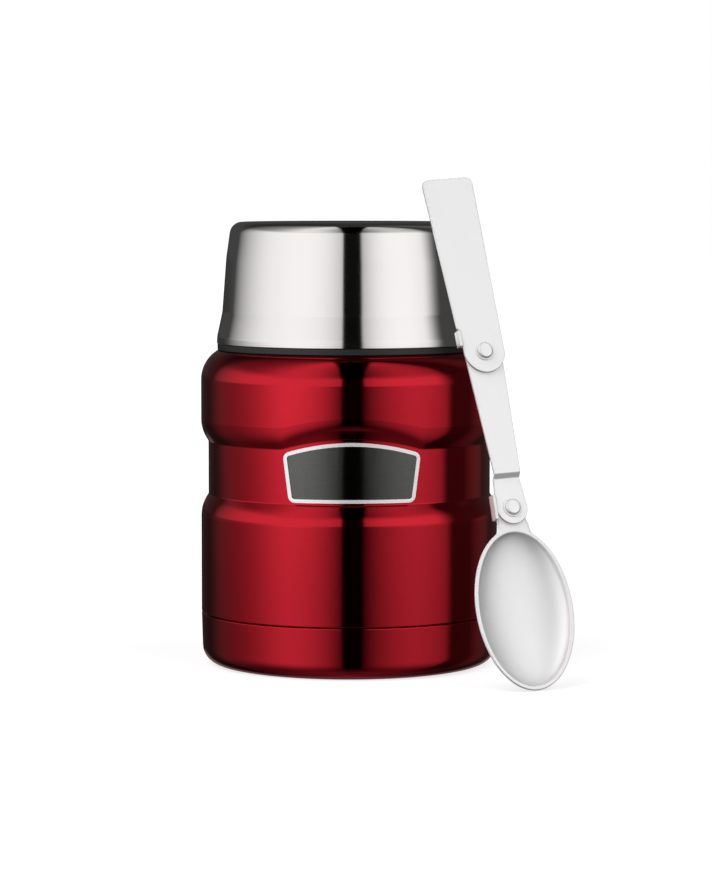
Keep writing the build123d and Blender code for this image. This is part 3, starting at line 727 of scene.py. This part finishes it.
def makeBadge():
    badge = badgeSet
    rim = badgeOutline("badgeFrame")
    editAll()
    bpy.ops.mesh.inset(thickness=badge["border"] * mm, depth=0)
    bpy.ops.mesh.duplicate()
    bpy.ops.mesh.separate(type="SELECTED")
    field = next(piece for piece in bpy.context.selected_objects if piece is not rim)
    bpy.ops.object.mode_set(mode="OBJECT")
    field.name = "badgeField"
    select(rim)
    editAll()
    bpy.ops.mesh.select_all(action="DESELECT")
    bpy.ops.object.mode_set(mode="OBJECT")
    for polygon in rim.data.polygons:
        polygon.select = len(polygon.vertices) > 8
    bpy.ops.object.mode_set(mode="EDIT")
    bpy.ops.mesh.delete(type="ONLY_FACE")
    bpy.ops.object.mode_set(mode="OBJECT")
    for piece, proud in ((rim, badge["proud"]), (field, badge["proud"] - badge["sunk"])):
        select(piece)
        editAll()
        bpy.ops.mesh.extrude_region_move(TRANSFORM_OT_translate={"value": (0, -proud * mm, 0)})
        bpy.ops.mesh.select_all(action="SELECT")
        bpy.ops.mesh.normals_make_consistent(inside=False)
        bpy.ops.object.mode_set(mode="OBJECT")
        applyModifier(piece, "BEVEL", width=badge["edge"] * mm, segments=3, limit_method="ANGLE",
                      angle_limit=radians(50))
        wrapBadge(piece)
    finishPiece(rim, "jar", "badge_frame", "badgeRim")
    finishPiece(field, "jar", "badge_field", "badgePlate")


makeOuterShell()
makeBaseShell()
makeInnerLiner()
makeVacuumBottom()
makeBadge()
print("jar made")


# The stopper: cap with its tray, plug, foam and gasket

stopperSet = {
    "skirtInner": 37.3, "skirtOuter": 38.7, "skirtLow": 102.4, "knee": 111.5, "edge": 0.4,
    "bend": 2.0, "threadLow": 103.2, "roofLow": 115.2, "roofHigh": 116.6, "trayOuter": 37.0,
    "trayInner": 35.4, "trayTaper": 0.7, "trayRim": 135.5, "trayEdge": 0.7, "trayFloor": 124.4,
    "trayUnder": 123.0, "trayFillet": 1.5, "opening": 33.0, "plug": 32.9, "plugWall": 2.2,
    "plugLow": 100.6, "plugFillet": 3.0, "flange": 36.3, "flangeLow": 113.8, "gasketLow": 108.2,
    "gasketHigh": 111.0, "groove": 32.0, "gasketOuter": 33.9, "gasketLip": 0.4,
    "gasketEdge": 0.2, "flangeEdge": 0.3, "slack": 0.1,
}


def makeStopper():
    part = stopperSet
    edge, bend = part["edge"], part["bend"]
    corners = [
        (part["skirtInner"], part["skirtLow"], edge),
        (part["skirtOuter"], part["skirtLow"], edge),
        (part["skirtOuter"], part["knee"], bend),
        (part["trayOuter"], part["roofHigh"], bend),
        (part["trayOuter"] - part["trayTaper"], part["trayRim"], part["trayEdge"]),
        (part["trayInner"] - part["trayTaper"], part["trayRim"], part["trayEdge"]),
        (part["trayInner"], part["trayFloor"], part["trayFillet"]),
        (0, part["trayFloor"], 0),
    ]
    top = lathe("stopperTop", corners + [
        (0, part["trayUnder"], 0),
        (part["trayInner"], part["trayUnder"], 0),
        (part["trayInner"], part["roofHigh"], 0),
        (part["opening"], part["roofHigh"], 0),
        (part["opening"], part["roofLow"], 0),
        (part["skirtInner"], part["roofLow"], edge),
    ])
    gap, half = threadSet["gap"], threadSet["pitch"] / 2
    inner = threads("capInnerThreads", part["skirtInner"], jarSet["neck"] + gap,
                    jarSet["neckThread"] + half)
    outer = threads("capOuterThreads", part["skirtOuter"], part["skirtOuter"] + threadSet["depth"],
                    part["threadLow"])
    finishPiece(joinPieces(top, inner, outer), "stopper", "stopper_cap",
                "blackPlastic")
    wall, fillet, slack = part["plugWall"], part["plugFillet"], part["slack"]
    corners = [
        (0, part["plugLow"], 0),
        (part["plug"], part["plugLow"], fillet),
        (part["plug"], part["gasketLow"] - slack, 0),
        (part["groove"] - slack, part["gasketLow"] - slack, 0),
        (part["groove"] - slack, part["gasketHigh"] + slack, 0),
        (part["plug"], part["gasketHigh"] + slack, 0),
        (part["plug"], part["flangeLow"], part["flangeEdge"]),
        (part["flange"], part["flangeLow"], part["flangeEdge"]),
        (part["flange"], part["roofLow"], 0),
        (part["plug"] - wall, part["roofLow"], 0),
        (part["plug"] - wall, part["plugLow"] + wall, fillet / 2),
        (0, part["plugLow"] + wall, 0),
    ]
    finishPiece(lathe("stopperPlug", corners, closed=False), "stopper", "stopper_plug",
                "blackPlastic")
    corners = [
        (0, part["plugLow"] + wall + slack, 0),
        (part["plug"] - wall - slack, part["plugLow"] + wall + slack, fillet / 2),
        (part["plug"] - wall - slack, part["roofHigh"] + slack, 0),
        (part["trayInner"] - slack, part["roofHigh"] + slack, 0),
        (part["trayInner"] - slack, part["trayUnder"] - slack, 0),
        (0, part["trayUnder"] - slack, 0),
    ]
    finishPiece(lathe("stopperFoam", corners, closed=False), "core", "stopper_foam",
                "foamCells")
    middle = (part["gasketLow"] + part["gasketHigh"]) / 2
    corners = [
        (part["groove"], part["gasketLow"], part["gasketEdge"]),
        (part["plug"], part["gasketLow"], part["gasketEdge"]),
        (part["gasketOuter"], middle, part["gasketLip"]),
        (part["plug"], part["gasketHigh"], part["gasketEdge"]),
        (part["groove"], part["gasketHigh"], part["gasketEdge"]),
    ]
    finishPiece(lathe("stopperGasket", corners), "seal", "stopper_gasket",
                "paleSilicone")


makeStopper()
print("stopper made")


# The cup lid: steel cup, threaded liner and black ring

cupSet = {
    "top": (38.1, 143.0), "fillet": 4.0, "middle": (39.75, 131.3), "waist": (41.05, 114.0),
    "band": (42.75, 106.1), "rim": (42.85, 103.9), "bend": 30.0, "kink": 5.0, "sheet": 0.6,
    "linerGap": 0.75, "linerInset": 1.95, "threadWall": 40.0, "threadTop": 108.0,
    "tongue": (41.55, 41.95), "tongueTop": 105.5, "ring": (40.4, 42.65), "ringLow": 101.7,
    "ringHigh": 103.85, "ringEdge": 0.4, "rimEdge": 0.2, "tongueGap": 0.05,
}


# The cup's corners from its top to its rim, moved in by inset.
def cupSide(inset, kink):
    cup = cupSet
    return [
        (0, cup["top"][1] - inset, 0),
        (cup["top"][0] - inset, cup["top"][1] - inset, cup["fillet"] - inset),
        (cup["middle"][0] - inset, cup["middle"][1], cup["bend"]),
        (cup["waist"][0] - inset, cup["waist"][1], kink),
        (cup["band"][0] - inset, cup["band"][1], kink),
        (cup["rim"][0] - inset, cup["rim"][1], cup["rimEdge"]),
    ]


def makeCup():
    cup = cupSet
    corners = cupSide(0, cup["kink"]) + cupSide(cup["sheet"], cup["kink"])[::-1]
    shell = lathe("cupShell", corners, closed=False)
    finishPiece(shell, "cup", "cup_shell", "satinSteel")
    inner = cupSide(cup["linerInset"], 0)[:4] + [
        (cup["threadWall"], cup["threadTop"], 0),
        (cup["threadWall"], cup["rim"][1], 0),
    ]
    tongueOuter = cup["tongue"][0] - cup["tongueGap"]
    tongueTop = cup["tongueTop"] + cup["tongueGap"]
    outer = cupSide(cup["linerGap"], 0)[:5] + [
        (cup["band"][0] - cup["linerGap"], tongueTop, 0),
        (tongueOuter, tongueTop, 0),
        (tongueOuter, cup["rim"][1], 0),
    ]
    liner = lathe("cupLiner", outer + inner[::-1], closed=False)
    gap = threadSet["gap"]
    ridges = threads("linerThreads", cup["threadWall"], stopperSet["skirtOuter"] + gap,
                     stopperSet["threadLow"] + threadSet["pitch"] / 2)
    finishPiece(joinPieces(liner, ridges), "cup", "cup_liner", "blackPlastic")
    corners = [
        (cup["ring"][0], cup["ringLow"], cup["rimEdge"]),
        (cup["ring"][1], cup["ringLow"], cup["ringEdge"]),
        (cup["ring"][1], cup["ringHigh"], cup["ringEdge"]),
        (cup["tongue"][1], cup["ringHigh"], 0),
        (cup["tongue"][1], cup["tongueTop"], 0),
        (cup["tongue"][0], cup["tongueTop"], 0),
        (cup["tongue"][0], cup["ringHigh"], 0),
        (cup["ring"][0], cup["ringHigh"], 0),
    ]
    finishPiece(lathe("cupRing", corners), "lid_edge", "cup_ring", "blackPlastic")


makeCup()
print("cup made")


# The folding spoon, made flat and then leant in its place

spoonSet = {
    "plate": 1.0, "edge": 0.28, "linkLow": 0.05, "linkHigh": 1.55, "handleLow": 2.6,
    "handleTilt": 4.2, "handleLength": 57.3, "handleEnd": 8.8, "handleRoot": 7.7, "handleEye": 7.0,
    "handleCorner": 2.4, "notch": 7.3, "linkRoot": 6.4, "linkWaist": 4.5, "linkEye": 5.3,
    "stepAt": 10.0, "step": 1.5, "tab": 1.0, "tabGap": 0.3, "upperTab": (1.8, 7.0),
    "upperTabTop": 4.6,
    "lowerTab": 4.0, "lowerTabTop": 2.3, "bowlTilt": -0.5, "reach": 57.85, "bowlLength": 51.5,
    "bowlHalf": 16.6, "depth": 6.0, "rim": 1.4, "rivet": 1.5, "head": 2.55,
    "headHeight": 0.9, "tail": 0.7, "washer": 3.1, "washerHeight": 0.3, "rivetGap": 0.05,
    "tailEdge": 0.3, "headFoot": 0.1, "headEdge": 0.75, "washerEdges": (0.08, 0.12),
    "rimFlat": 0.6, "bowlRings": 12, "neckReach": 6.6,
    # the neck's rows as (place, half width): up from the bowl's rim, and up from the rivet
    "neckLow": [(1.1, 5.6), (2.4, 4.8), (4.2, 4.6)],
    "neckHigh": [(-2.5, 4.6), (0, 5.3), (2.6, 4.6), (4.4, 2.9), (5.2, 1.0)],
}
upperPivot = Vector(joints["handle_fold"]["pos_m"])
lowerPivot = Vector(joints["bowl_fold"]["pos_m"])
forward = Vector(joints["bowl_fold"]["axis"]).normalized()
rightward = Vector((-forward.y, forward.x, 0)).normalized()
linkUp = (upperPivot - lowerPivot).normalized()


# Lays a piece made in XY with its rivet at the origin into the spoon's plane.
def leanPiece(piece, pivot, up):
    up = up.normalized()
    side = up.cross(forward)
    piece.data.transform(Matrix((
        (side.x, up.x, forward.x, pivot.x),
        (side.y, up.y, forward.y, pivot.y),
        (side.z, up.z, forward.z, pivot.z),
        (0, 0, 0, 1),
    )))


# A direction in the spoon's plane, tilted to the left of upright by so many degrees.
def upward(tilt):
    straight = forward.cross(rightward)
    return straight * cos(radians(tilt)) - rightward * sin(radians(tilt))


# Half of a disc in XY, cut along X.
def halfDisc(name, radius, centre, keepLow):
    piece = startPiece(name, "circle", vertices=64, radius=radius * mm, fill_type="NGON",
                       location=(0, centre * mm, 0))
    bpy.ops.object.transform_apply()
    editAll()
    bpy.ops.mesh.bisect(plane_co=(0, centre * mm, 0), plane_no=(0, 1, 0), clear_outer=keepLow,
                        clear_inner=not keepLow)
    selectPoints(piece, lambda co: abs(co.y - centre * mm) < same)
    return piece


# Extrudes the selected edge through rows of (place, left, right, height).
def extendRows(rows, left, right, at, height=0.0):
    for place, newLeft, newRight, newHeight in rows:
        shift = (newLeft + newRight - left - right) / 2
        move = Vector((shift, place - at, newHeight - height)) * mm
        bpy.ops.mesh.extrude_region_move(TRANSFORM_OT_translate={"value": move})
        centre = Vector(((newLeft + newRight) / 2, place, newHeight)) * mm
        ratio = (newRight - newLeft) / (right - left)
        bpy.ops.transform.resize(value=(ratio, 1, 1), center_override=centre)
        left, right, at, height = newLeft, newRight, place, newHeight


# Gives a flat sheet its thickness, from low up.
def thicken(piece, low):
    editAll()
    bpy.ops.mesh.remove_doubles(threshold=latheSet["merge"])
    bpy.ops.mesh.extrude_region_move(
        TRANSFORM_OT_translate={"value": (0, 0, spoonSet["plate"] * mm)})
    bpy.ops.mesh.select_all(action="SELECT")
    bpy.ops.mesh.normals_make_consistent(inside=False)
    bpy.ops.transform.translate(value=(0, 0, low * mm))
    bpy.ops.object.mode_set(mode="OBJECT")


# A small plate with corners low and high, in millimetres.
def block(name, low, high):
    low, high = Vector(low) * mm, Vector(high) * mm
    piece = startPiece(name, "cube", size=1)
    editAll()
    bpy.ops.transform.resize(value=high - low)
    bpy.ops.transform.translate(value=(low + high) / 2)
    bpy.ops.object.mode_set(mode="OBJECT")
    return piece


def roundEdges(piece, width):
    applyModifier(piece, "BEVEL", width=width * mm, segments=3, limit_method="ANGLE",
                  angle_limit=radians(40), harden_normals=False)


def makeHandle():
    spoon = spoonSet
    eye, root, notch = spoon["handleEye"], spoon["handleRoot"], spoon["notch"]
    end, length = spoon["handleEnd"], spoon["handleLength"]
    slope = (end - eye) / length
    handle = halfDisc("spoonHandle", eye, 0, keepLow=True)
    extendRows([
        (notch, -eye, eye + slope * notch, 0),
        (notch + root - eye, -root, eye + slope * (notch + root - eye), 0),
        (length, -end, end, 0),
    ], -eye, eye, 0)
    bpy.ops.mesh.bevel(offset=spoon["handleCorner"] * mm, affect="VERTICES", segments=8)
    thicken(handle, spoon["handleLow"])
    roundEdges(handle, spoon["edge"])
    leanPiece(handle, upperPivot, upward(spoon["handleTilt"]))
    finishPiece(handle, "handle", "spoon_handle", "brightSteel")


def makeLink():
    spoon = spoonSet
    length = (upperPivot - lowerPivot).length / mm
    root, waist, eye = spoon["linkRoot"], spoon["linkWaist"], spoon["linkEye"]
    high, low = spoon["linkHigh"], spoon["linkLow"]
    stepTop, stepLow = spoon["stepAt"] + spoon["step"] / 2, spoon["stepAt"] - spoon["step"] / 2
    link = halfDisc("spoonLink", root, length, keepLow=False)
    extendRows([
        (stepTop, -waist, waist, 0),
        (stepLow, -waist, waist, low - high),
        (0, -eye, eye, low - high),
    ], -root, root, length)
    bpy.ops.object.mode_set(mode="OBJECT")
    foot = halfDisc("linkFoot", eye, 0, keepLow=True)
    bpy.ops.object.mode_set(mode="OBJECT")
    foot.data.transform(Matrix.Translation((0, 0, (low - high) * mm)))
    link = joinPieces(link, foot)
    thicken(link, high)
    inner = spoon["handleEye"] + spoon["tabGap"]
    outer = inner + spoon["tab"]
    tabLow, tabHigh = (length + place for place in spoon["upperTab"])
    shelf = block("linkShelf", (-outer, tabLow, high), (-2, tabHigh, high + spoon["plate"]))
    tab = block("linkTab", (-outer, tabLow, high), (-inner, tabHigh, spoon["upperTabTop"]))
    for piece in (shelf, tab, link):
        roundEdges(piece, spoon["edge"])
    link = joinPieces(link, shelf, tab)
    leanPiece(link, lowerPivot, linkUp)
    finishPiece(link, "link", "spoon_link", "brightSteel")


def makeBowl():
    spoon = spoonSet
    middle = spoon["bowlLength"] / 2 - spoon["reach"]
    top = spoon["bowlLength"] - spoon["reach"]
    half, tall = spoon["bowlHalf"], spoon["bowlLength"] / 2
    mouthHalf, mouthTall = half - spoon["rim"], tall - spoon["rim"]
    bowl = startPiece("spoonBowl", "circle", vertices=72, radius=mm)
    editAll()
    bpy.ops.transform.resize(value=(half, tall, 1))
    flat, steps = spoon["rimFlat"], spoon["bowlRings"]
    rings = [(half - flat, tall - flat, 0), (mouthHalf, mouthTall, 0)]
    for step in range(1, steps):
        turn = radians(90) * step / steps
        rings.append((mouthHalf * cos(turn), mouthTall * cos(turn), -spoon["depth"] * sin(turn)))
    before = (half, tall, 0)
    for ring in rings:
        bpy.ops.mesh.extrude_region_move(
            TRANSFORM_OT_translate={"value": (0, 0, (ring[2] - before[2]) * mm)})
        bpy.ops.transform.resize(value=(ring[0] / before[0], ring[1] / before[1], 1),
                                 center_override=(0, 0, ring[2] * mm))
        before = ring
    bpy.ops.mesh.extrude_region_move(
        TRANSFORM_OT_translate={"value": (0, 0, (-spoon["depth"] - before[2]) * mm)})
    bpy.ops.mesh.merge(type="CENTER")
    bpy.ops.mesh.select_all(action="SELECT")
    bpy.ops.transform.translate(value=(0, middle * mm, 0))
    # the neck grows out of the upper end of the rim
    selectPoints(bowl, lambda co: co.z > -same and co.y > middle * mm
                 and abs((co.x / mm / half) ** 2 + ((co.y / mm - middle) / tall) ** 2 - 1) < 1e-3
                 and abs(co.x) < spoon["neckReach"] * mm)
    width = 2 * max(point.co.x for point in bowl.data.vertices if point.select) / mm
    neckRows = [(top + place, halfWidth) for place, halfWidth in spoon["neckLow"]]
    for place, halfWidth in neckRows + spoon["neckHigh"]:
        bpy.ops.mesh.extrude_region_move(TRANSFORM_OT_translate={"value": (0, 0, 0)})
        bpy.ops.transform.resize(value=(2 * halfWidth / width, 0, 1),
                                 center_override=(0, place * mm, 0))
        width = 2 * halfWidth
    bpy.ops.mesh.select_all(action="SELECT")
    bpy.ops.mesh.normals_make_consistent(inside=False)
    bpy.ops.object.mode_set(mode="OBJECT")
    facing = sum(polygon.normal.z for polygon in bowl.data.polygons)
    applyModifier(bowl, "SOLIDIFY", thickness=spoon["plate"] * mm, offset=-1 if facing > 0 else 1,
                  use_even_offset=True)
    applyModifier(bowl, "SUBSURF", levels=2, render_levels=2)
    reach = spoon["linkEye"] + spoon["tabGap"]
    outer = reach + spoon["tab"]
    tabHalf, back = spoon["lowerTab"], -spoon["plate"]
    shelf = block("bowlShelf", (-outer, -tabHalf, back), (-2, tabHalf, 0))
    tab = block("bowlTab", (-outer, -tabHalf, back), (-reach, tabHalf, spoon["lowerTabTop"]))
    for piece in (shelf, tab):
        roundEdges(piece, spoon["edge"])
    bowl = joinPieces(bowl, shelf, tab)
    leanPiece(bowl, lowerPivot, upward(spoon["bowlTilt"]))
    finishPiece(bowl, "bowl", "spoon_bowl", "bowlSteel")


def makeRivets():
    spoon = spoonSet
    plate, gap = spoon["plate"], spoon["rivetGap"]
    seats = [
        (upperPivot, spoon["linkHigh"], spoon["handleLow"] + plate + gap),
        (lowerPivot, -plate - gap, spoon["linkLow"] + plate),
    ]
    rivets, washers = [], []
    shaft, head, tail = spoon["rivet"], spoon["head"], spoon["tail"]
    tailEdge, headFoot, headEdge = spoon["tailEdge"], spoon["headFoot"], spoon["headEdge"]
    washerLow, washerHigh = spoon["washerEdges"]
    for pivot, back, front in seats:
        seat = front + spoon["washerHeight"]
        rivet = lathe("rivet", [
            (0, back - tail, 0),
            (head, back - tail, tailEdge),
            (head, back, headFoot),
            (shaft, back, 0),
            (shaft, seat, 0),
            (head, seat, headFoot),
            (head, seat + spoon["headHeight"], headEdge),
            (0, seat + spoon["headHeight"], 0),
        ], closed=False)
        washer = lathe("washer", [
            (shaft, front, 0),
            (spoon["washer"], front, washerLow),
            (spoon["washer"], seat, washerHigh),
            (shaft, seat, 0),
        ])
        for piece in (rivet, washer):
            leanPiece(piece, pivot, linkUp)
        rivets.append(rivet)
        washers.append(washer)
    rivets = joinPieces(*rivets)
    rivets.name = "spoonRivets"
    finishPiece(rivets, "link", "spoon_rivets", "brightSteel")
    washers = joinPieces(*washers)
    washers.name = "spoonWashers"
    finishPiece(washers, "link", "spoon_washers", "brightSteel")


makeHandle()
makeLink()
makeBowl()
makeRivets()
for name in ("spoonHandle", "spoonLink", "spoonBowl", "spoonRivets", "spoonWashers"):
    bpy.data.objects[name].visible_glossy = False  # the jar doesn't mirror the spoon
print("spoon made")
